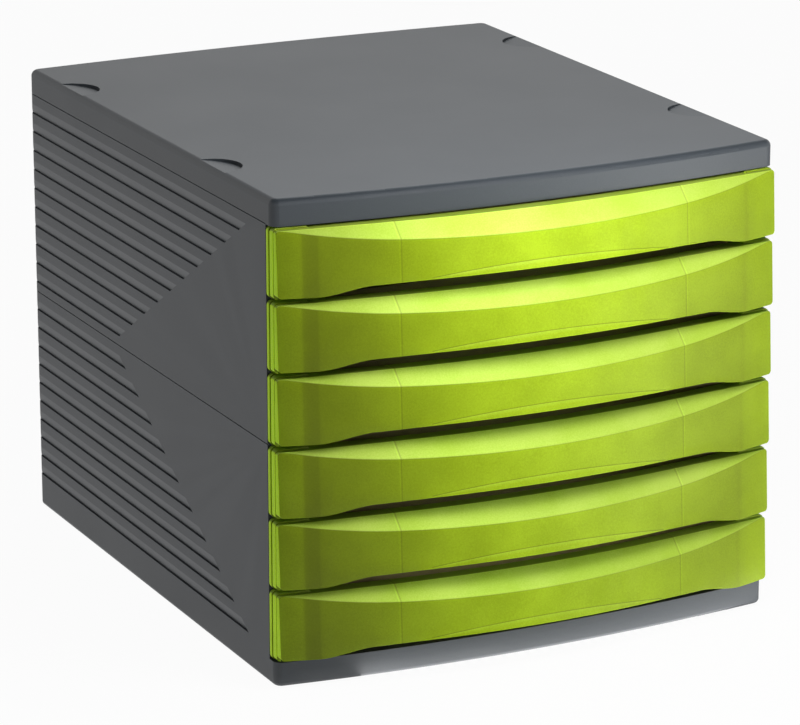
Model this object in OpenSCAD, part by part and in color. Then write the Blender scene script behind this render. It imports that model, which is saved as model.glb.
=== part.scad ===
// File box with six drawers. Millimetres, front towards -Y, width along X, foot pads standing at Z = 0.
// Depths are first counted from the plane of the casing's front corners, with Y growing to the back.

/* [Casing] */
// Width over the side panels
case_w = 280; // [250:1:340]
// Depth from the front corners to the back corners
case_d = 320; // [310:1:380]
// How far the lid and the base bar bow forward in their middle
front_bow = 10; // [6:0.5:16]
// How far the back bows out in its middle
back_bow = 5; // [3:0.5:10]
// Radius of the upright corners
corner_r = 5; // [4.5:0.25:8]
// Wall thickness of the lid and the housings
wall = 2.6; // [2.4:0.1:3.4]
// Distance of the side panels' front ends behind the corners
side_setback = 7.5; // [6.5:0.5:10]
// Height of the shadow line along a seam
seam_h = 0.5; // [0.3:0.1:1]
// Depth of the shadow line along a seam
seam_d = 0.6; // [0.3:0.1:1]

/* [Lid] */
// Height of the lid
lid_h = 13.5; // [11:0.5:20]
// Thickness of the lid's plate
lid_t = 3.2; // [2.8:0.1:4]
// Rounding of the lid's upper edge
lid_edge_r = 3.5; // [1.5:0.25:4]
// Radius of the recesses that take the foot pads of a second box
recess_r = 15; // [14:0.5:20]
// Depth of a recess at its inner end
recess_depth = 1.8; // [0.8:0.1:2]
// Distance of a recess's centre from the side of the lid
recess_inset = 2; // [1:0.5:10]
// Distance of a recess's outer end from the side of the lid
recess_edge = 0; // [0:0.5:12]
// Distance of the front recesses and foot pads behind the corners
front_foot_y = 75; // [50:1:100]
// Distance of the back recesses and foot pads behind the corners
back_foot_y = 262; // [220:1:280]

/* [Base] */
// Height of the base bar
base_h = 13; // [11:0.5:20]
// Rounding of the base's lower edge
base_edge_r = 2.5; // [1:0.25:4]
// Thickness of the bottom plate
floor_t = 2.6; // [2:0.1:4]
// Thickness of the base bar's upper plate
bar_t = 2.2; // [1.6:0.1:3]
// Depth of the base bar's upper plate behind the side panels' front ends
bar_shelf = 4; // [2:0.5:10]
// Height of the foot pads
foot_h = 1.5; // [1:0.1:3]
// Radius of the foot pads
foot_r = 12; // [9:0.5:13]
// Distance of the foot pads' straight side from the side of the base
foot_inset = 5; // [4.5:0.5:11]

/* [Housings] */
// Height that each drawer takes
pitch = 37.25; // [34:0.25:60]
// Drawers in each of the two housings
tier_drawers = 3; // [2:1:4]
// Length of the tabs that locate one housing in the next
tab_l = 30; // [15:1:40]
// How far the tabs reach down
tab_drop = 6; // [3:0.5:9]
// Thickness of the tabs
tab_t = 2; // [1.6:0.1:2.6]
// Clearance of the tabs
tab_gap = 0.2; // [0.2:0.05:0.5]
// Distance of the front tabs behind the corners
front_tab_y = 50; // [40:1:90]
// Distance of the back tabs behind the corners
back_tab_y = 270; // [200:1:280]

/* [Side ribs] */
// Recesses in each side panel of a housing
rib_count = 10; // [6:1:12]
// Depth of the recesses at their foot
rib_depth = 0.95; // [0.5:0.05:1.1]
// Height of the fine groove at the foot of a recess
groove_h = 0.3; // [0.3:0.1:0.8]
// Depth of the fine groove below the recess
groove_d = 0.3; // [0.3:0.05:0.8]
// Start of the recesses at the lid, behind the corners
rib_top_y = 22; // [15:1:60]
// Start of the recesses at the seam between the housings, behind the corners
rib_tip_y = 206; // [120:1:240]
// Start of the recesses at the base, behind the corners
rib_low_y = 24; // [15:1:60]

/* [Trays] */
// Room between a tray and the side panel, for the runner
side_room = 13.9; // [13:0.1:18]
// Room between a tray and the back wall
back_room = 10.4; // [6:0.1:20]
// Thickness of a tray's walls and bottom
tray_t = 1.8; // [1.4:0.1:2.6]
// Radius of a tray's upright corners
tray_r = 6; // [3:0.5:10]
// Height of a tray's underside in its space
tray_rise = 3; // [2.6:0.1:5]
// Distance of a tray's rim below the top of its space
tray_drop = 3; // [2:0.1:8]
// Distance of a tray's front wall below the top of its space
tray_front_drop = 0.9; // [0.7:0.1:3]
// Length of a tray that stays in the casing when its drawer is open
tray_kept = 52.5; // [40:0.5:120]

/* [Runners] */
// Clearance under and behind a drawer, and at its stops
run_gap = 0.3; // [0.2:0.05:0.5]
// Thickness of a runner's ledge
ledge_t = 1.9; // [1.5:0.1:2.2]
// How far a ledge reaches under the tray
ledge_reach = 6.5; // [4:0.5:12]
// Clearance beside a tray
side_gap = 0.5; // [0.3:0.05:0.8]
// Thickness of the fence beside a tray
fence_t = 1.6; // [1.2:0.1:2]
// Height of the fence above its ledge
fence_h = 6; // [4:0.5:8]
// Size of a stop lug along, across and up the tray's side
lug_l = 6; // [4:0.5:10]
// How far a stop lug stands out from the tray
lug_w = 6.5; // [5:0.5:8]
// Height of a stop lug
lug_h = 6; // [4:0.5:8]
// Distance of a stop lug from the back of its tray
lug_inset = 11; // [8:0.5:16]
// Room above, below and beside a passing lug
lug_room = 1.8; // [1:0.1:2.4]

/* [Drawer fronts] */
// Wall thickness of a front
front_t = 2; // [1.6:0.1:2.4]
// Thickness of the flange at the back of a front
flange_t = 2.7; // [2:0.1:3]
// Corner radius of the flange and of the rim before it
flange_r = 3; // [1:0.5:5]
// Step from the flange in to the rim
rim_inset = 0.4; // [0.2:0.1:0.6]
// Width and depth of the groove between the flange and the rim
rim_groove = 0.4; // [0.2:0.1:0.5]
// Step from the edge of a front's space in to the curved face, at the sides
face_inset = 0.7; // [0.6:0.1:1.5]
// Distance of the face's upper edge below the top of its space
face_drop = 1.4; // [1:0.1:2]
// Distance of the face's lower edge above the bottom of its space, at the sides
face_rise = 2.4; // [1.5:0.1:3]
// Corner radius of the face
face_r = 2; // [1:0.25:4]
// How far the face stands forward of the corners, in its middle
face_mid = 25; // [21:0.5:32]
// How far the face stands forward of the corners, at its sides
face_side = 2.6; // [1:0.1:4]
// How much further forward the face stands at its lower edge
face_lean = 2; // [0.5:0.1:4]
// How far the slope's back edge stands forward of the corners, in its middle
slope_mid = 15.5; // [12:0.5:18]
// Angle of the slope from the level
slope_angle = 43; // [35:1:50]
// Distance from the middle at which the slope turns straight, to run out into the face
slope_bend = 77; // [70:1:85]
// Width of the level strip behind the slope
strip_w = 7.5; // [2:0.1:8.5]
// Rise of the lower edge in the middle of a front
arch_mid = 8.4; // [7.5:0.1:10]
// Rise of the lower edge where the arch begins
arch_side = 6.8; // [5:0.1:7]
// Length of the bend between the arch and the straight ends
arch_bend = 30; // [20:1:40]
// How far the grip lip stands out from the face, in its middle
lip_out = 1.66; // [1:0.02:2.5]
// Height of the grip lip in its middle
lip_h = 4; // [3:0.25:6]
// Half the width of the grip lip at the level of its middle
lip_half = 66; // [50:1:75]
// Distance of the two inner webs from the middle of a front
web_x = 80; // [60:1:90]
// Thickness of the webs
web_t = 1.6; // [1.2:0.1:2]
// Distance of the inner webs' top below the top of their space, behind the level strip
web_drop = 9; // [5:0.5:12]

/* [Hidden] */
$fn = 96;
big_fn = 720;
past = 1;
// Round corners and edges stand this far out, so that they cross the sides instead of only touching them
cross = 0.02;
drawers = 2 * tier_drawers;
tier_h = tier_drawers * pitch;
case_h = base_h + 2 * tier_h + lid_h;
half_w = case_w / 2;

function arc_radius(half, rise) = (half * half + rise * rise) / (2 * rise);

// Arcs of the casing's outline and the centres of its corners
front_arc_r = arc_radius(half_w, front_bow);
back_arc_r = arc_radius(half_w, back_bow);
front_arc_y = front_arc_r - front_bow;
back_arc_y = case_d + back_bow - back_arc_r;
corner_in = corner_r - cross;
corner_x = half_w - corner_in;
front_angle = asin(corner_x / (front_arc_r - corner_in));
back_angle = asin(corner_x / (back_arc_r - corner_in));
front_corner_y = front_arc_y - (front_arc_r - corner_in) * cos(front_angle);
back_corner_y = back_arc_y + (back_arc_r - corner_in) * cos(back_angle);

// Tray and runner
inner_half = half_w - wall;
tray_half = inner_half - side_room;
flange_y = side_setback - run_gap - flange_t;
tray_back_y = case_d - wall - back_room;
ledge_z = tray_rise - run_gap - ledge_t;
fence_z = tray_rise - run_gap + fence_h;
lug_z = fence_z + lug_room;
lug_y = tray_back_y - lug_inset;
travel = tray_back_y - flange_y - tray_kept;
stop_y = lug_y - travel - run_gap;
stop_x = tray_half + lug_w - lug_room;

// Drawer front
wing_x = tray_half + side_gap;
web_in_x = tray_half - side_gap - web_t / 2;
face_half = half_w - face_inset;
face_z = pitch - face_drop;
face_top_r = arc_radius(face_half, face_mid - face_side);
face_arc_y = face_top_r - face_mid;
lean_rate = face_lean / (face_z - face_rise);
slope_rate = tan(slope_angle);
slope_r = arc_radius(face_half, slope_mid);
slope_arc_y = slope_r - slope_mid;
slope_turn = asin(slope_bend / slope_r);
arch_end = web_in_x - side_gap;
arch_start = arch_end - arch_bend;
lip_y = face_mid + lean_rate * (face_z - arch_mid) + lip_out;
lip_rate = lean_rate + lip_out / lip_h;
lip_r = 1 / (1 / face_top_r + 2 * lip_out / (lip_half * lip_half));

// A box that holds the casing's plan
plan_front = -2 * front_bow;
plan_length = case_d + 4 * front_bow + 4 * back_bow;

// The origin is below the middle of the box's outline
corner_plane_y = (lip_y - case_d - back_bow) / 2;

FEET = ["front_left", "front_right", "back_left", "back_right"];

// Moves a piece from the corner plane and the casing's underside to the part's own frame
module placed(z = 0) {
    translate([0, corner_plane_y, foot_h + z]) children();
}

module both_sides() {
    children();
    mirror([1, 0, 0]) children();
}

// Space number i is counted from the top
function space_z(i) = base_h + (drawers - i) * pitch;

// Outlines

module corner_waste(r) {
    difference() {
        square(r + past);
        circle(r);
    }
}

// What is cut from the outer edge of a section that reaches out to x
module edge_waste(x, h, top_r, bottom_r) {
    if (top_r > 0) translate([x - top_r + cross, h - top_r + cross]) corner_waste(top_r);
    if (bottom_r > 0) translate([x - bottom_r + cross, bottom_r - cross]) mirror([0, 1])
        corner_waste(bottom_r);
}

// What is cut from an upright corner, turned about the corner's centre
module round_corner(angle, r, h, top_r, bottom_r) {
    rotate_extrude(angle = angle) difference() {
        translate([0, -past]) square([3 * corner_r, h + 2 * past]);
        difference() {
            square([r, h]);
            edge_waste(r, h, top_r, bottom_r);
        }
    }
}

// The casing's outline with sharp corners, drawn in by an inset
module bowed_outline(inset, h) {
    side = half_w - inset;
    intersection() {
        translate([-side, plan_front, 0]) cube([2 * side, plan_length, h]);
        translate([0, front_arc_y, -past]) cylinder(r = front_arc_r - inset, h = h + 2 * past, $fn = big_fn);
        translate([0, back_arc_y, -past]) cylinder(r = back_arc_r - inset, h = h + 2 * past, $fn = big_fn);
    }
}

// The same outline with round upper or lower edges
module edged_outline(inset, h, top_r, bottom_r) {
    difference() {
        difference() {
            bowed_outline(inset, h);
            both_sides() translate([0, plan_front + plan_length, 0]) rotate([90, 0, 0])
                linear_extrude(plan_length) edge_waste(half_w - inset, h, top_r, bottom_r);
        }
        translate([0, front_arc_y, 0]) rotate_extrude($fn = big_fn)
            edge_waste(front_arc_r - inset, h, top_r, bottom_r);
        translate([0, back_arc_y, 0]) rotate_extrude($fn = big_fn)
            edge_waste(back_arc_r - inset, h, top_r, bottom_r);
    }
}

// The same outline with round corners too
module bowed_block(inset, h, top_r = 0, bottom_r = 0) {
    r = corner_r - inset;
    difference() {
        if (top_r > 0 || bottom_r > 0) edged_outline(inset, h, top_r, bottom_r);
        else bowed_outline(inset, h);
        both_sides() {
            translate([corner_x, front_corner_y, 0]) mirror([0, 1, 0])
                round_corner(90 - front_angle, r, h, top_r, bottom_r);
            translate([corner_x, back_corner_y, 0]) round_corner(90 - back_angle, r, h, top_r, bottom_r);
        }
    }
}

// Everything ahead of a depth
module ahead_of(y) {
    translate([-case_w, y - case_d, -case_h]) cube([2 * case_w, case_d, 3 * case_h]);
}

// A fine step around the lower edge, which makes the seam a dark line
module seam_line() {
    difference() {
        translate([0, 0, -past]) bowed_block(-past, past + seam_h);
        translate([0, 0, -2 * past]) bowed_block(seam_d, 4 * past + seam_h);
        ahead_of(side_setback);
    }
}

// Tabs below a seam at z = 0, each with a root above it that joins it to the wall
module tabs(root_h) {
    x = inner_half - tab_gap;
    both_sides() for (y = [front_tab_y, back_tab_y]) {
        translate([x - tab_t, y - tab_l / 2, -tab_drop]) cube([tab_t, tab_l, tab_drop + root_h]);
        translate([x - tab_t, y - tab_l / 2, 0]) cube([tab_t + tab_gap + wall / 2, tab_l, root_h]);
    }
    back = case_d + back_bow - wall - tab_gap;
    translate([-tab_l / 2, back - tab_t, -tab_drop]) cube([tab_l, tab_t, tab_drop + root_h]);
    translate([-tab_l / 2, back - tab_t, 0]) cube([tab_l, tab_t + tab_gap + wall / 2, root_h]);
}

// Lid

module foot_recess(y) {
    angle = atan(recess_depth / (recess_r + recess_inset - recess_edge));
    intersection() {
        translate([half_w - recess_inset, y, lid_h - 2 * recess_depth])
            cylinder(r = recess_r, h = 4 * recess_depth);
        translate([half_w - recess_edge, y, lid_h]) rotate([0, -angle, 0])
            translate([-3 * recess_r, -2 * recess_r, 0]) cube([6 * recess_r, 4 * recess_r, 2 * recess_r]);
    }
}

module top_cover() {
    color("#6b6f72") placed(case_h - lid_h) {
        difference() {
            bowed_block(0, lid_h, lid_edge_r, 0);
            translate([0, 0, -past]) bowed_block(wall, past + lid_h - lid_t);
            both_sides() for (y = [front_foot_y, back_foot_y]) foot_recess(y);
            seam_line();
        }
        tabs(lid_h - lid_t + past / 2);
    }
}

// Housings

// Recesses of one side, cut where the side lies behind the line from bottom_y to top_y
module side_ribs(z, bottom_y, top_y) {
    band = tier_h / (2 * rib_count + 1);
    floor_x = half_w - rib_depth;
    intersection() {
        translate([0, case_d + 2 * back_bow, 0]) rotate([90, 0, 0]) linear_extrude(case_d + 2 * back_bow)
            for (i = [1:rib_count]) {
                low = z + tier_h - 2 * i * band;
                polygon([
                    [half_w + past, low + band + past * (band - groove_h) / rib_depth],
                    [floor_x, low + groove_h],
                    [floor_x - groove_d, low + groove_h],
                    [floor_x - groove_d, low],
                    [half_w + past, low]
                ]);
            }
        rotate([90, 0, 90]) linear_extrude(case_w)
            polygon([[bottom_y, z], [top_y, z + tier_h], [2 * case_d, z + tier_h], [2 * case_d, z]]);
    }
}

module housing_walls(h) {
    difference() {
        bowed_block(0, h);
        translate([0, 0, -past]) bowed_block(wall, h + 2 * past);
        ahead_of(side_setback);
    }
}

// Ledge, fence and stop on both sides of one space, whose bottom is at z
module runner(z) {
    y = side_setback + past;
    length = tray_back_y - y;
    both_sides() {
        translate([tray_half - ledge_reach, y, z + ledge_z])
            cube([ledge_reach + side_room + wall / 2, length, ledge_t]);
        translate([wing_x, y, z + ledge_z]) cube([fence_t, length, fence_z - ledge_z]);
        translate([stop_x, stop_y - lug_l, z + fence_z + past / 2])
            cube([inner_half + wall / 2 - stop_x, lug_l, lug_h + 2 * (lug_room - past / 2)]);
    }
}

module upper_housing() {
    color("#55585a") placed(base_h + tier_h) {
        difference() {
            housing_walls(tier_h);
            both_sides() side_ribs(0, rib_tip_y, rib_top_y);
            seam_line();
        }
        for (i = [0:tier_drawers - 1]) runner(i * pitch);
        tabs(tab_drop);
    }
}

module lower_housing() {
    color("#55585a") placed() {
        difference() {
            union() {
                bowed_block(0, base_h, 0, base_edge_r);
                translate([0, 0, base_h]) housing_walls(tier_h);
            }
            translate([0, 0, floor_t]) bowed_block(wall, base_h - bar_t - floor_t);
            difference() {
                translate([0, 0, floor_t]) bowed_block(wall, base_h - floor_t + past);
                ahead_of(side_setback + bar_shelf);
            }
            both_sides() side_ribs(base_h, rib_low_y, rib_tip_y);
        }
        for (i = [0:tier_drawers - 1]) runner(base_h + i * pitch);
    }
}

module foot_pad(name) {
    side = name == "front_left" || name == "back_left" ? -1 : 1;
    y = name == "front_left" || name == "front_right" ? front_foot_y : back_foot_y;
    x = half_w - foot_inset;
    color("#2b2c2d") placed(-foot_h) intersection() {
        translate([side * x, y, 0]) cylinder(r = foot_r, h = foot_h);
        translate([side > 0 ? x - foot_r : -x, y - foot_r, 0]) cube([foot_r, 2 * foot_r, foot_h]);
    }
}

// Trays

module round_block(half, y0, y1, h, r) {
    translate([-half, y0 + r, 0]) cube([2 * half, y1 - y0 - 2 * r, h]);
    translate([r - half, y0, 0]) cube([2 * (half - r), y1 - y0, h]);
    both_sides() for (y = [y0 + r, y1 - r]) translate([half - r, y, 0]) cylinder(r = r, h = h);
}

module drawer_tray(i) {
    h = pitch - tray_rise - tray_drop;
    color("#3a3633") placed(space_z(i) + tray_rise) {
        difference() {
            round_block(tray_half, flange_y, tray_back_y, h, tray_r);
            translate([0, 0, tray_t])
                round_block(tray_half - tray_t, flange_y + tray_t, tray_back_y - tray_t, h, tray_r - tray_t);
        }
        translate([tray_r - tray_half, flange_y, h / 2])
            cube([2 * (tray_half - tray_r), tray_t, h / 2 + tray_drop - tray_front_drop]);
        both_sides() translate([tray_half - tray_t / 2, lug_y, lug_z - tray_rise])
            cube([lug_w + tray_t / 2, lug_l, lug_h]);
    }
}

// Drawer fronts, drawn from the bottom of their space

// A plate across the front between two depths, with round corners
module front_plate(half, z0, z1, r, y0, y1) {
    translate([0, y1, 0]) rotate([90, 0, 0]) linear_extrude(y1 - y0) {
        translate([-half, z0 + r]) square([2 * half, z1 - z0 - 2 * r]);
        translate([r - half, z0]) square([2 * (half - r), z1 - z0]);
        both_sides() for (z = [z0 + r, z1 - r]) translate([half - r, z]) circle(r);
    }
}

// Everything behind the leaning, bowed face, drawn in by t
module behind_face(t) {
    low_r = face_top_r + lean_rate * (face_z + past) - t;
    high_r = face_top_r - lean_rate * past - t;
    translate([0, face_arc_y, -past]) cylinder(r1 = low_r, r2 = high_r, h = face_z + 2 * past, $fn = big_fn);
}

// Everything below the slope and its level strip, drawn in by t. The slope is a part of a cone in the
// middle, and past its bends a plane that continues it on each side
module below_slope(t) {
    z = face_z - t;
    shift = t * (1 / cos(slope_angle) - 1) / slope_rate;
    run = (z + past) / slope_rate;
    out = slope_r - shift;
    deep = slope_r - half_w;
    translate([0, slope_arc_y, 0]) {
        rotate(-slope_turn - 90) rotate_extrude(angle = 2 * slope_turn, $fn = big_fn)
            polygon([[deep, -past], [out + run, -past], [out, z], [deep, z]]);
        both_sides() rotate(slope_turn - 90) translate([0, half_w, 0]) rotate([90, 0, 0])
            linear_extrude(half_w) polygon([[deep, -past], [out + run, -past], [out, z], [deep, z]]);
    }
}

module face_solid(t) {
    intersection() {
        behind_face(t);
        below_slope(t);
        translate([t - face_half, -2 * face_mid, -past])
            cube([2 * (face_half - t), 2 * face_mid + flange_y, face_z + 2 * past]);
    }
}

module lip() {
    low_z = arch_side - past;
    top_z = arch_mid + lip_h + past;
    intersection() {
        translate([0, lip_r - lip_y, low_z])
            cylinder(
                r1 = lip_r + lip_rate * (arch_mid - low_z),
                r2 = lip_r - lip_rate * (top_z - arch_mid),
                h = top_z - low_z,
                $fn = big_fn
            );
        translate([-arch_start, -2 * face_mid, low_z])
            cube([2 * arch_start, 2 * face_mid - slope_mid, top_z - low_z]);
    }
}

// Height of the lower edge at a distance from the middle
function bend(u) = u * u * (3 - 2 * u);
function edge_z(x) =
    x < arch_start
        ? arch_mid - (arch_mid - arch_side) * pow(x / arch_start, 2)
        : arch_side - (arch_side - face_rise) * bend((x - arch_start) / arch_bend);

// What is cut away below the arched lower edge
module below_edge() {
    steps = 60;
    right = [for (k = [0:steps]) [arch_end * k / steps, edge_z(arch_end * k / steps)]];
    left = [for (k = [steps:-1:1]) [-right[k][0], right[k][1]]];
    translate([0, flange_y, 0]) rotate([90, 0, 0]) linear_extrude(flange_y + 2 * face_mid)
        polygon(concat(left, right, [[arch_end, -2 * past], [-arch_end, -2 * past]]));
}

module web(x) {
    translate([x - web_t / 2, -2 * face_mid, -2 * past]) cube([web_t, 3 * face_mid, pitch + 4 * past]);
}

module within(half) {
    translate([-half, -2 * face_mid, -2 * past]) cube([2 * half, 3 * face_mid, pitch + 4 * past]);
}

// A plate across the front at an even distance from the edge of its space
module rim_plate(inset, y1) {
    z = run_gap + inset;
    front_plate(half_w - inset, z, pitch - z, flange_r - inset, -front_bow, y1);
}

// The rim and the flange that close the ends of a front
module wings() {
    difference() {
        intersection() {
            union() {
                rim_plate(rim_inset + rim_groove, flange_y);
                rim_plate(rim_inset, flange_y - rim_groove);
            }
            translate([0, front_arc_y, 0]) cylinder(r = front_arc_r, h = pitch, $fn = big_fn);
        }
        within(web_in_x);
    }
    difference() {
        front_plate(half_w, run_gap, pitch - run_gap, flange_r, flange_y, flange_y + flange_t);
        within(wing_x);
    }
}

// The space behind the level strip, from a height up
module behind_strip(z) {
    intersection() {
        translate([0, slope_arc_y, z])
            cylinder(r = slope_r - strip_w, h = pitch - z + past, $fn = big_fn);
        within(web_in_x);
    }
}

module front_hollows() {
    difference() {
        face_solid(front_t);
        both_sides() web(web_in_x + web_t / 2);
    }
    behind_strip(-past);
}

// A web up to the slope, which steps down behind the strip and reaches the tray
module inner_webs() {
    difference() {
        intersection() {
            face_solid(front_t / 2);
            both_sides() web(web_x);
        }
        behind_strip(pitch - web_drop);
    }
}

module drawer_front(i) {
    color("#a4c922") placed(space_z(i)) difference() {
        union() {
            difference() {
                union() {
                    intersection() {
                        face_solid(0);
                        front_plate(face_half, face_rise, face_z, face_r, -2 * face_mid, flange_y);
                    }
                    lip();
                    wings();
                }
                front_hollows();
            }
            inner_webs();
        }
        below_edge();
    }
}

top_cover();
upper_housing();
lower_housing();
for (name = FEET)
    foot_pad(name);
for (i = [1:drawers])
    drawer_tray(i);
for (i = [1:drawers])
    drawer_front(i);
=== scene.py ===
# %% [markdown]
# # A file box with six drawers
# The real object is a desk organizer of injection-moulded plastic: a grey lid, two
# grey housings, six dark trays and six translucent lime fronts. Its solids come from
# the CAD frame, in metres, and stay where they are. This script gives them their
# finishes, the light and the camera.

import math

import bmesh
import bpy
from mathutils import Matrix, Vector


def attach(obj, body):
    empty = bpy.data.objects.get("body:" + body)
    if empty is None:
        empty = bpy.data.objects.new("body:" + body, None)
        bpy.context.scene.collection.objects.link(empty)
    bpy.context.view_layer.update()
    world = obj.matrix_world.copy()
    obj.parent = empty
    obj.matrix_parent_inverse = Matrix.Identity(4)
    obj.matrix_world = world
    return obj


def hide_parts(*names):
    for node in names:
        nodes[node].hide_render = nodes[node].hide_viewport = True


MM = 0.001

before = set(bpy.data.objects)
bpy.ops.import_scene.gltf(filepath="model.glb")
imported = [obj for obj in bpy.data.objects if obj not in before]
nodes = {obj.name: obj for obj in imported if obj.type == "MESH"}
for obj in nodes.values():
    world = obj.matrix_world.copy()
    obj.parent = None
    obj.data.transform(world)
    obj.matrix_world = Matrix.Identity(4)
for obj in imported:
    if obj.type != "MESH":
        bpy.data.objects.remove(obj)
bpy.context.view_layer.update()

# %% [markdown]
# ## The camera
# The photograph was taken from the left, a little above the box, with a long lens,
# so the upright edges stay nearly parallel. The place and the lens were fitted to
# ten corners of the box. The lens length follows from the picture's width.

# %% Camera
PICTURE_WIDTH = 800
FOCAL_PIXELS = 4138.8
CAMERA_PLACE = Vector((-931.8, -1900.75, 748.5)) * MM
YAW = math.radians(26.15)
PITCH = math.radians(16.74)

camera_data = bpy.data.cameras.new("camera")
camera_data.sensor_width = 36
camera_data.lens = camera_data.sensor_width * FOCAL_PIXELS / PICTURE_WIDTH
camera_data.clip_end = 20
camera = bpy.data.objects.new("camera", camera_data)
camera.matrix_world = (
    Matrix.Translation(CAMERA_PLACE)
    @ Matrix.Rotation(-YAW, 4, "Z")
    @ Matrix.Rotation(math.pi / 2 - PITCH, 4, "X")
)
scene = bpy.context.scene
scene.collection.objects.link(camera)
scene.camera = camera
print("lens", round(camera_data.lens, 1), "mm")

# %% [markdown]
# ## Tools for the finishes
# Colours are written as a screen shows them, and one function turns them to the
# linear values that the shaders work in. Another adds a node with its settings
# and its links, so a material reads from top to bottom.


# %% Colour and node helpers
def linear(colour):
    """The linear colour, with alpha, of a hex value such as 5a5d60."""
    shares = [int(colour[i : i + 2], 16) / 255 for i in (0, 2, 4)]
    return [
        s / 12.92 if s <= 0.04045 else ((s + 0.055) / 1.055) ** 2.4 for s in shares
    ] + [1]


def add(tree, kind, inputs=None, **settings):
    """Adds a node. An input's value is a number, a colour or another node's output."""
    node = tree.nodes.new(kind)
    for name, value in settings.items():
        setattr(node, name, value)
    for name, value in (inputs or {}).items():
        if isinstance(value, bpy.types.NodeSocket):
            tree.links.new(value, node.inputs[name])
        else:
            node.inputs[name].default_value = value
    return node


def new_material(name):
    """An empty material, its node tree and the output of its object coordinates."""
    material = bpy.data.materials.new(name)
    material.use_nodes = True
    tree = material.node_tree
    tree.nodes.clear()
    return material, tree, add(tree, "ShaderNodeTexCoord").outputs["Object"]


print("one helper adds every node")

# %% [markdown]
# ## Casing plastic
# Lid and housings are ABS, moulded in a spark-eroded tool. The surface has an even
# fine grain that spreads each reflection, so it looks satin and slightly dusty. The
# real grain of about 0.1 mm would not show, so it is drawn 0.5 mm wide. Slow patches
# change the colour and the gloss a very little, as handling does. Faces that lean
# down, as the recesses of the side panels do, mirror more of the bright floor and
# are given more gloss.

# %% Casing material
GRAIN = 0.5 * MM
GRAIN_SHARE = 0.7
PATCH = 60 * MM
PATCH_SHARE = 0.15
MOTTLE_LOW, MOTTLE_HIGH = 0.22, 0.63
ROUGH_SPREAD = 0.01
LEANING, UPRIGHT = -0.17, -0.06  # Z part of the direction a face looks to
MOULDED_IOR = 1.53


def moulded_plastic(name, dark, light, rough, grain_height, gloss, leaning_gloss=None):
    """A grained plastic with its colour between two hex values.

    Faces that lean down may have a gloss of their own. Without it the gloss is a
    plain number, which an exported model keeps.
    """
    material, tree, place = new_material(name)
    patches = add(
        tree,
        "ShaderNodeTexNoise",
        {"Vector": place, "Scale": 1 / PATCH, "Detail": 3.0, "Roughness": 0.6},
    ).outputs["Fac"]
    grain = add(
        tree,
        "ShaderNodeTexNoise",
        {"Vector": place, "Scale": 1 / GRAIN, "Detail": 2.0, "Roughness": 0.5},
    ).outputs["Fac"]
    slow = add(
        tree, "ShaderNodeMath", {0: patches, 1: PATCH_SHARE}, operation="MULTIPLY"
    ).outputs[0]
    mottle = add(
        tree,
        "ShaderNodeMath",
        {0: grain, 1: GRAIN_SHARE, 2: slow},
        operation="MULTIPLY_ADD",
    ).outputs[0]
    share = add(
        tree,
        "ShaderNodeMapRange",
        {"Value": mottle, "From Min": MOTTLE_LOW, "From Max": MOTTLE_HIGH},
    ).outputs[0]
    tint = add(
        tree,
        "ShaderNodeMix",
        {"Factor": share, "A": linear(dark), "B": linear(light)},
        data_type="RGBA",
    ).outputs["Result"]
    roughness = add(
        tree,
        "ShaderNodeMapRange",
        {
            "Value": patches,
            "From Min": 0.3,
            "From Max": 0.7,
            "To Min": rough - ROUGH_SPREAD,
            "To Max": rough + ROUGH_SPREAD,
        },
    ).outputs[0]
    if leaning_gloss is not None:
        turned = add(tree, "ShaderNodeTexCoord").outputs["Normal"]
        direction = add(tree, "ShaderNodeSeparateXYZ", {0: turned}).outputs
        gloss = add(
            tree,
            "ShaderNodeMapRange",
            {
                "Value": direction["Z"],
                "From Min": LEANING,
                "From Max": UPRIGHT,
                "To Min": leaning_gloss,
                "To Max": gloss,
            },
        ).outputs[0]
    relief = add(
        tree,
        "ShaderNodeBump",
        {"Height": grain, "Distance": grain_height, "Strength": 1.0},
    ).outputs[0]
    plastic = add(
        tree,
        "ShaderNodeBsdfPrincipled",
        {
            "Base Color": tint,
            "Roughness": roughness,
            "IOR": MOULDED_IOR,
            "Specular IOR Level": gloss,
            "Normal": relief,
        },
    )
    add(tree, "ShaderNodeOutputMaterial", {"Surface": plastic.outputs[0]})
    print(name, len(tree.nodes), "nodes")
    return material


casing_plastic = moulded_plastic(
    "spark-grained ABS, anthracite", "2e3338", "353a3f", 0.46, 0.02 * MM, 0.5, 0.85
)
tray_plastic = moulded_plastic(
    "smooth polystyrene, olive brown", "64553a", "706044", 0.35, 0.01 * MM, 0.5
)
foot_rubber = moulded_plastic(
    "moulded rubber, black", "26272a", "2e2f31", 0.8, 0.05 * MM, 0.3
)

# %% [markdown]
# ## Drawer fronts with their edges broken
# A moulded front has no knife edges: each edge is rounded by a few tenths of a
# millimetre, and the round catches a fine line of light. The CAD fronts have sharp
# edges, so a copy of each is bevelled and takes its place. The copy is merged first,
# because a CAD mesh is loose triangles, and flat triangles are joined to whole
# faces, so that the bevel meets only real edges. The narrow faces that the bevel
# makes are marked with an attribute, which the plastic reads to paint a highlight
# line on them, or a line of painted shade between the slope and the upright face
# and in the hollow line above the grip lip.

# %% Bevelled fronts
MERGE_DISTANCE = 0.002 * MM
FLAT_TURN = math.radians(0.3)
SHARP_TURN = math.radians(28)
EDGE_ROUND = 0.3 * MM
EDGE_TURNS = (30, 140)
HOLLOW_ROUND = 0.25 * MM
HOLLOW_TURNS = (-35, -12)
# Marks for lines painted on the rounds: a painted highlight, and painted shade on the
# slope's lower round and in hollows.
PAINTED_HIGHLIGHT_LINE, PAINTED_SLOPE_SHADE_LINE, PAINTED_HOLLOW_SHADE_LINE = 1.0, -0.5, -1.0
TURNED_UP = (0.12, 0.66)  # Z part of the direction of the slope's lower round


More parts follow.
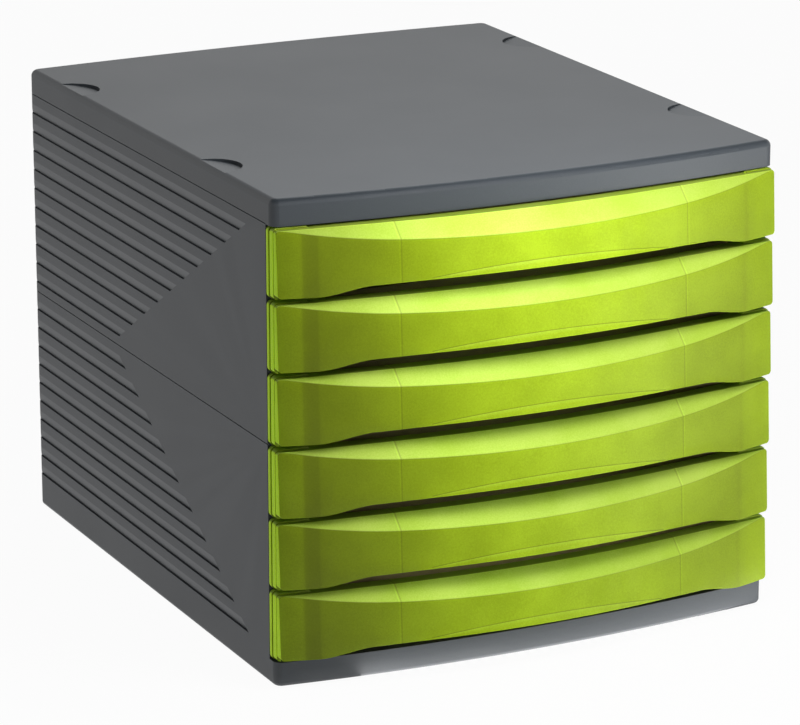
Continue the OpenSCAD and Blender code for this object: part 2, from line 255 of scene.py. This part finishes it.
def merged_copy(node):
    """The triangles of a CAD node, joined to one mesh to work on."""
    mesh = bmesh.new()
    mesh.from_mesh(node.data)
    bmesh.ops.remove_doubles(mesh, verts=mesh.verts, dist=MERGE_DISTANCE)
    return mesh


def mesh_data(mesh, name):
    """Writes a mesh that was worked on to a new mesh of the scene."""
    data = bpy.data.meshes.new(name)
    mesh.to_mesh(data)
    mesh.free()
    return data


def new_piece(name, data):
    """A new object at the origin."""
    piece = bpy.data.objects.new(name, data)
    scene.collection.objects.link(piece)
    return piece


def edges_between(mesh, low, high):
    """The edges whose faces turn by an angle between two values, in degrees."""
    return [
        e
        for e in mesh.edges
        if e.is_manifold and low < math.degrees(e.calc_face_angle_signed()) < high
    ]


def break_edges(mesh, edges, width, layer):
    """Rounds edges and marks the new faces for painted highlight or painted shade
    lines.
    """
    made = bmesh.ops.bevel(
        mesh,
        geom=edges,
        offset=width,
        affect="EDGES",
        segments=2,
        profile=0.5,
        material=-1,
        clamp_overlap=False,
    )
    for face in made["faces"]:
        if width == HOLLOW_ROUND:
            face[layer] = PAINTED_HOLLOW_SHADE_LINE
        elif TURNED_UP[0] < face.normal.z < TURNED_UP[1]:
            face[layer] = PAINTED_SLOPE_SHADE_LINE
        else:
            face[layer] = PAINTED_HIGHLIGHT_LINE


def bevelled_front(node):
    """A copy of a front's mesh with its edges rounded and marked for painted lines."""
    mesh = merged_copy(node)
    bmesh.ops.dissolve_limit(
        mesh, angle_limit=FLAT_TURN, verts=mesh.verts, edges=mesh.edges
    )
    layer = mesh.faces.layers.float.new("painted_edge_lines")
    break_edges(mesh, edges_between(mesh, *EDGE_TURNS), EDGE_ROUND, layer)
    break_edges(mesh, edges_between(mesh, *HOLLOW_TURNS), HOLLOW_ROUND, layer)
    data = mesh_data(mesh, node.name + "_bevelled")
    data.polygons.foreach_set("use_smooth", [True] * len(data.polygons))
    data.set_sharp_from_angle(angle=SHARP_TURN)
    return data


fronts = []
for tier in range(1, 7):
    piece = new_piece(f"front_{tier}", bevelled_front(nodes[f"drawer_front_{tier}"]))
    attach(piece, f"drawer_{tier}")
    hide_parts(f"drawer_front_{tier}")
    fronts.append(piece)
print("front faces:", len(fronts[0].data.polygons))

# %% [markdown]
# ## Housings with flat side panels
# The leaning recesses of the side panels meet the plain panel at a shallow edge. A
# mesh that is shaded smoothly over such edges shows a false fan of light on the
# plain triangle. A copy of each housing, of the same shape and with those edges kept
# sharp, takes its place.

# %% Flat side panels
PANEL_TURN = math.radians(1)
SQUARE = 0.9999  # X part of the direction that a plain side panel faces


def flat_sided(node):
    """A copy of a housing's mesh, shaded flat up to the edges of its side panels.

    The CAD mesh has its own shading directions, which would hide the sharp edges,
    so they are taken out.
    """
    mesh = merged_copy(node)
    for face in mesh.faces:
        face.smooth = True
    for edge in mesh.edges:
        on_panel = any(abs(face.normal.x) > SQUARE for face in edge.link_faces)
        edge.smooth = edge.calc_face_angle(0) < (PANEL_TURN if on_panel else SHARP_TURN)
    data = mesh_data(mesh, node.name + "_flat_sided")
    if "custom_normal" in data.attributes:
        data.attributes.remove(data.attributes["custom_normal"])
    return data


housings = []
for level in ("upper", "lower"):
    piece = new_piece(f"{level}_casing", flat_sided(nodes[f"{level}_housing"]))
    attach(piece, "casing")
    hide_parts(f"{level}_housing")
    housings.append(piece)
print("housing faces:", [len(piece.data.polygons) for piece in housings])

# %% [markdown]
# ## Front plastic
# The fronts are translucent polystyrene, dyed lime and frosted by the tool. The dye
# throws part of the light back, and part goes through the wall, so the shader mixes
# a plain plastic with a translucent one of the same colour. Light and shade are
# painted into the colour by the place along the front, with one curve for the
# upright face and one for the slope. Painted shade stands for the dark tray behind
# the wall where it is near the face, which is towards the ends, and most of all at
# its corners 120 mm from the middle; the left end, which gets less light, is painted
# darker than the right. Painted light makes the middle glow, where the face stands
# 25 mm before the tray, and the ends beyond the tray lighter again. The slope's
# curve carries a painted highlight left of its middle. It is painted because the
# little light that really crosses the hollow front would cost many samples.

# %% Painted light and shade along the front
HALF_WIDTH = 140  # mm, from the middle of a front to its side
FROST = 0.8 * MM
CLOUD = 25 * MM

front_material, tree, place = new_material("frosted polystyrene, translucent lime")
frost = add(
    tree,
    "ShaderNodeTexNoise",
    {"Vector": place, "Scale": 1 / FROST, "Detail": 2.0, "Roughness": 0.7},
).outputs["Fac"]
cloud = add(
    tree,
    "ShaderNodeTexNoise",
    {"Vector": place, "Scale": 1 / CLOUD, "Detail": 2.0, "Roughness": 0.5},
).outputs["Fac"]
across = add(tree, "ShaderNodeSeparateXYZ", {0: place}).outputs["X"]
from_middle = add(tree, "ShaderNodeMath", {0: across}, operation="ABSOLUTE").outputs[0]


def painted_light_curve(steps):
    """The painted light and shade along the front, by the place across it in mm."""
    ramp = add(
        tree,
        "ShaderNodeMapRange",
        {
            "Value": across,
            "From Min": -HALF_WIDTH * MM,
            "From Max": HALF_WIDTH * MM,
        },
    ).outputs[0]
    curve = add(tree, "ShaderNodeFloatCurve", {"Value": ramp})
    points = curve.mapping.curves[0].points
    points[0].location = (0, steps[0][1])
    points[-1].location = (1, steps[-1][1])
    for x, height in steps[1:-1]:
        points.new((x + HALF_WIDTH) / (2 * HALF_WIDTH), height)
    curve.mapping.update()
    return curve.outputs[0]


face_painted_light = painted_light_curve(
    [(-140, 0.4), (-129, 0.39), (-126.5, 0.26), (-120.5, 0.23), (-119, 0.29)]
    + [(-100, 0.34), (-80, 0.46), (-45, 0.62), (0, 0.69), (45, 0.63), (80, 0.51)]
    + [(100, 0.44), (117, 0.4), (119, 0.38), (121, 0.43), (140, 0.49)]
)
slope_painted_light = painted_light_curve(
    [(-140, 0.62), (-110, 0.77), (-80, 0.95), (-60, 1), (0, 0.86), (60, 0.72)]
    + [(100, 0.67), (140, 0.62)]
)
print("glow curves drawn over", 2 * HALF_WIDTH, "mm")

# %% [markdown]
# The slope is painted lighter, a painted highlight where it faces the light. The
# level strip behind it, with only the dark gap at its back, is painted darker as
# shade. The narrow sides are painted lighter, and the outermost ones are given a
# painted glow by emission, for the light that runs along inside the wall and comes
# out, as it does at the edge of any dyed sheet.

# %% Which way the wall faces
PAINTED_STRIP_SHADE = 0.42
PAINTED_SIDE_LIGHT = 1.0
PAINTED_EDGE_GLOW = 0.3

turned = add(tree, "ShaderNodeTexCoord").outputs["Normal"]
direction = add(tree, "ShaderNodeSeparateXYZ", {0: turned}).outputs
sideways = add(
    tree, "ShaderNodeMath", {0: direction["X"]}, operation="ABSOLUTE"
).outputs[0]

# Each share goes from nought to one between two values of what it is read from.
places = {
    "slope": (direction["Z"], 0.3, 0.6),
    "strip": (direction["Z"], 0.85, 0.97),
    "side": (sideways, 0.8, 0.95),
    "outermost": (from_middle, 137 * MM, 138.5 * MM),
}
on = {}
for part, (value, low, high) in places.items():
    on[part] = add(
        tree, "ShaderNodeMapRange", {"Value": value, "From Min": low, "From Max": high}
    ).outputs[0]

# Painted light and shade levels by the way the wall faces.
levels = {"slope": slope_painted_light, "strip": PAINTED_STRIP_SHADE, "side": PAINTED_SIDE_LIGHT}
glow = face_painted_light
for part, part_glow in levels.items():
    glow = add(
        tree, "ShaderNodeMix", {"Factor": on[part], "A": glow, "B": part_glow}
    ).outputs[0]
painted_edge_glow_share = add(
    tree, "ShaderNodeMath", {0: on["outermost"], 1: on["side"]}, operation="MULTIPLY"
).outputs[0]
painted_edge_glow_strength = add(
    tree, "ShaderNodeMath", {0: painted_edge_glow_share, 1: PAINTED_EDGE_GLOW}, operation="MULTIPLY"
).outputs[0]
print("wall levels: face, slope, strip, side")

# %% [markdown]
# An inner web 80 mm from the middle is drawn through the wall as a line of painted
# shade with a painted light line beside it, for the light that the web hides behind
# it and carries forward. A rounded edge gets a painted highlight or painted shade
# line of its own, by the mark that it was given.

# %% Painted lines of the webs and edges
WEB_LINE_HALF = 0.5 * MM
PAINTED_WEB_LINES = ((79.6 * MM, 0.7), (80.5 * MM, 1.2))  # place and strength
PAINTED_EDGE_LINE_RANGE = (0.6, 1.4)

painted_web_shading = []
for offset, strength in PAINTED_WEB_LINES:
    gap = add(
        tree, "ShaderNodeMath", {0: from_middle, 1: offset}, operation="SUBTRACT"
    ).outputs[0]
    gap = add(tree, "ShaderNodeMath", {0: gap}, operation="ABSOLUTE").outputs[0]
    line = add(
        tree,
        "ShaderNodeMapRange",
        {"Value": gap, "From Max": WEB_LINE_HALF, "To Min": strength, "To Max": 1.0},
    ).outputs[0]
    painted_web_shading.append(line)
# The marks give painted highlight and painted shade lines along the rounded edges.
marks = add(
    tree, "ShaderNodeAttribute", attribute_name="painted_edge_lines", attribute_type="GEOMETRY"
).outputs["Fac"]
painted_edge_lines = add(
    tree,
    "ShaderNodeMapRange",
    {
        "Value": marks,
        "From Min": PAINTED_HOLLOW_SHADE_LINE,
        "From Max": PAINTED_HIGHLIGHT_LINE,
        "To Min": PAINTED_EDGE_LINE_RANGE[0],
        "To Max": PAINTED_EDGE_LINE_RANGE[1],
    },
).outputs[0]
painted_wall_light = glow
for strength in painted_web_shading + [painted_edge_lines]:
    painted_wall_light = add(
        tree, "ShaderNodeMath", {0: painted_wall_light, 1: strength}, operation="MULTIPLY"
    ).outputs[0]
print("web lines 80 mm from the middle")

# %% [markdown]
# The dye is uneven on the scale of the frosting, so the wall is finely speckled. The
# slope is given a paler lime, painted light for the light that comes from above
# through thin plastic. Where the painted light level is low, the lime is mixed
# towards a dark colour, 423c0e, as painted shade. A part of the light goes on
# through the wall.

# %% Colour and shader of the fronts
FROST_DEPTH = 0.03 * MM
THROUGH_SHARE = 0.27

share = add(tree, "ShaderNodeMath", {0: frost, 1: cloud}, operation="ADD").outputs[0]
share = add(
    tree, "ShaderNodeMapRange", {"Value": share, "From Min": 0.75, "From Max": 1.25}
).outputs[0]
# The second pair is the slope's lime, painted paler as painted light.
limes = []
for deep, light in (("bbdc0c", "d2f620"), ("cef350", "e0ff6c")):
    lime = add(
        tree,
        "ShaderNodeMix",
        {"Factor": share, "A": linear(deep), "B": linear(light)},
        data_type="RGBA",
    ).outputs["Result"]
    limes.append(lime)
wall = add(
    tree,
    "ShaderNodeMix",
    {"Factor": on["slope"], "A": limes[0], "B": limes[1]},
    data_type="RGBA",
).outputs["Result"]
# The dark colour 423c0e is painted shade; past a level of one the lime is painted
# lighter.
dye_and_painted_light = add(
    tree,
    "ShaderNodeMix",
    {"Factor": painted_wall_light, "A": linear("423c0e"), "B": wall},
    data_type="RGBA",
    clamp_factor=False,
).outputs["Result"]
relief = add(
    tree, "ShaderNodeBump", {"Height": frost, "Distance": FROST_DEPTH, "Strength": 1.0}
).outputs[0]
plain = add(
    tree,
    "ShaderNodeBsdfPrincipled",
    {
        "Base Color": dye_and_painted_light,
        "Roughness": 0.5,
        "IOR": 1.5,
        "Specular IOR Level": 0.3,
        # The emission is the painted glow of the outermost narrow sides.
        "Emission Color": linear("c8f03c"),
        "Emission Strength": painted_edge_glow_strength,
        "Normal": relief,
    },
)
through = add(tree, "ShaderNodeBsdfTranslucent", {"Color": dye_and_painted_light, "Normal": relief})
front_mix = add(
    tree,
    "ShaderNodeMixShader",
    {0: THROUGH_SHARE, 1: plain.outputs[0], 2: through.outputs[0]},
)
add(tree, "ShaderNodeOutputMaterial", {"Surface": front_mix.outputs[0]})
print(front_material.name, len(tree.nodes), "nodes")

# %% [markdown]
# ## The finishes in their places
# Each CAD solid names the plastic that it is moulded from, and gets that finish. The
# bevelled fronts and the housings' copies get the finishes of the solids that they
# stand for.

# %% Finishes on the pieces
finishes = {
    "casing": casing_plastic,
    "tray": tray_plastic,
    "front": front_material,
    "foot": foot_rubber,
}
for node in nodes.values():
    for slot in node.material_slots:
        slot.material = finishes[slot.material.name]
for piece in fronts:
    piece.data.materials.append(front_material)
for piece in housings:
    piece.data.materials.clear()
    piece.data.materials.append(casing_plastic)
print("finished nodes:", len(nodes))

# %% [markdown]
# ## Floor, backdrop and light
# The photograph has a plain white ground. The floor and the world show almost white
# to the camera and in reflections, and the floor keeps a faint shadow, so the box
# stands on something. For all other light they are plain surfaces, which leaves the
# light on the box to the lamps.

# %% Floor
FLOOR_HALF = 6
SEEN_WHITE = 0.96
MIRRORED_WHITE = 0.8


def ground_material():
    """White to the camera but for a faint shadow, and a plain surface to the rest."""
    material, tree, _ = new_material("matte white studio floor")
    shade = add(tree, "ShaderNodeBsdfDiffuse", {"Color": linear("f0f0f0")})
    white = add(tree, "ShaderNodeEmission", {"Color": linear("ffffff")})
    path = add(tree, "ShaderNodeLightPath").outputs
    mirrored = add(
        tree,
        "ShaderNodeMath",
        {0: path["Is Glossy Ray"], 1: MIRRORED_WHITE},
        operation="MULTIPLY",
    ).outputs[0]
    part = add(
        tree,
        "ShaderNodeMath",
        {0: path["Is Camera Ray"], 1: SEEN_WHITE, 2: mirrored},
        operation="MULTIPLY_ADD",
    ).outputs[0]
    mix = add(
        tree,
        "ShaderNodeMixShader",
        {0: part, 1: shade.outputs[0], 2: white.outputs[0]},
    )
    add(tree, "ShaderNodeOutputMaterial", {"Surface": mix.outputs[0]})
    return material


floor_mesh = bmesh.new()
bmesh.ops.create_grid(floor_mesh, x_segments=2, y_segments=2, size=FLOOR_HALF)
floor = new_piece("studio_floor", mesh_data(floor_mesh, "studio_floor"))
floor.data.materials.append(ground_material())
print("floor", 2 * FLOOR_HALF, "m across")

# %% [markdown]
# A mirror would see a bright room with a dimmer ceiling. The dim ceiling keeps the
# rounded front edge of the lid dark, as in the photograph.

# %% World
ROOM_LIGHT = 0.08
CEILING = 0.08
CEILING_STARTS, CEILING_FULL = 0.35, 0.8  # Z part of the line of sight

world = bpy.data.worlds.new("studio")
scene.world = world
world.use_nodes = True
tree = world.node_tree
tree.nodes.clear()
path = add(tree, "ShaderNodeLightPath").outputs
seen = add(
    tree,
    "ShaderNodeMath",
    {0: path["Is Camera Ray"], 1: path["Is Glossy Ray"]},
    operation="ADD",
).outputs[0]
seen = add(
    tree,
    "ShaderNodeMath",
    {0: seen, 1: path["Is Transmission Ray"]},
    operation="ADD",
    use_clamp=True,
).outputs[0]
sight = add(tree, "ShaderNodeTexCoord").outputs["Generated"]
height = add(tree, "ShaderNodeSeparateXYZ", {0: sight}).outputs["Z"]
room = add(
    tree,
    "ShaderNodeMapRange",
    {
        "Value": height,
        "From Min": CEILING_STARTS,
        "From Max": CEILING_FULL,
        "To Min": 1.0,
        "To Max": CEILING,
    },
    interpolation_type="SMOOTHSTEP",
).outputs[0]
room = add(
    tree, "ShaderNodeMix", {"Factor": path["Is Camera Ray"], "A": room, "B": 1.0}
).outputs[0]
strength = add(
    tree, "ShaderNodeMix", {"Factor": seen, "A": ROOM_LIGHT, "B": room}
).outputs[0]
sky = add(
    tree, "ShaderNodeBackground", {"Color": linear("ffffff"), "Strength": strength}
)
add(tree, "ShaderNodeOutputWorld", {"Surface": sky.outputs[0]})
print("world", world.name, "with room light", ROOM_LIGHT)

# %% [markdown]
# Soft lamps stand in front of the box, above and below the height of the eye, and
# make the middle of the bowed fronts the brightest place. One at the right lights
# the right ends, and one high at the left lights the side panel from above. These
# are near, so their mirror image is left out. Only the far lamp behind the box and
# the low one show, as a sheen on the lid and along its front. A last one lies on the
# floor under the fronts: there the white floor is brightest in the photograph, and
# the base bar mirrors it.

# %% Lamps
MIDDLE_OF_BOX = (0, 0, 0.12)


def soft_lamp(name, place, size, power, aim=MIDDLE_OF_BOX):
    """A square lamp at a place in metres, turned to the box."""
    data = bpy.data.lights.new(name, "AREA")
    data.shape = "SQUARE"
    data.size = size
    data.energy = power
    place = Vector(place)
    away = place - Vector(aim)
    lamp = bpy.data.objects.new(name, data)
    lamp.matrix_world = (
        Matrix.Translation(place) @ away.to_track_quat("Z", "Y").to_matrix().to_4x4()
    )
    scene.collection.objects.link(lamp)
    return lamp


back_lamp = soft_lamp("back_lamp", (1.685, 2.727, 2.791), 1.76, 17.4)
back_lamp.data.color = linear("f2faff")[:3]
low_lamp = soft_lamp("low_lamp", (0.42, -0.58, 0.08), 0.18, 1.15)
matte_lamps = [
    soft_lamp("side_lamp", (0.7, -0.5, 0.1), 0.2, 1.85),
    soft_lamp("left_lamp", (-0.75, 0.3, 0.8), 0.3, 0.6),
    soft_lamp("upper_lamp", (0.0, -0.42, 0.44), 0.2, 0.72),
    soft_lamp("near_lamp", (0.03, -0.32, 0.38), 0.15, 0.65),
]
for lamp in matte_lamps:
    lamp.visible_glossy = False
floor_light = soft_lamp(
    "floor_light", (0.04, -0.164, 0.001), 0.27, 0.048, aim=(0.04, -0.164, 1.0)
)
floor_light.data.shape = "RECTANGLE"
floor_light.data.size_y = 0.025
floor_light.visible_camera = False
print("lamps:", len([back_lamp, low_lamp, floor_light] + matte_lamps))

# %% [markdown]
# ## The end
# The colours are shown as they are, with no film look.

# %% Finish
scene.view_settings.view_transform = "Standard"
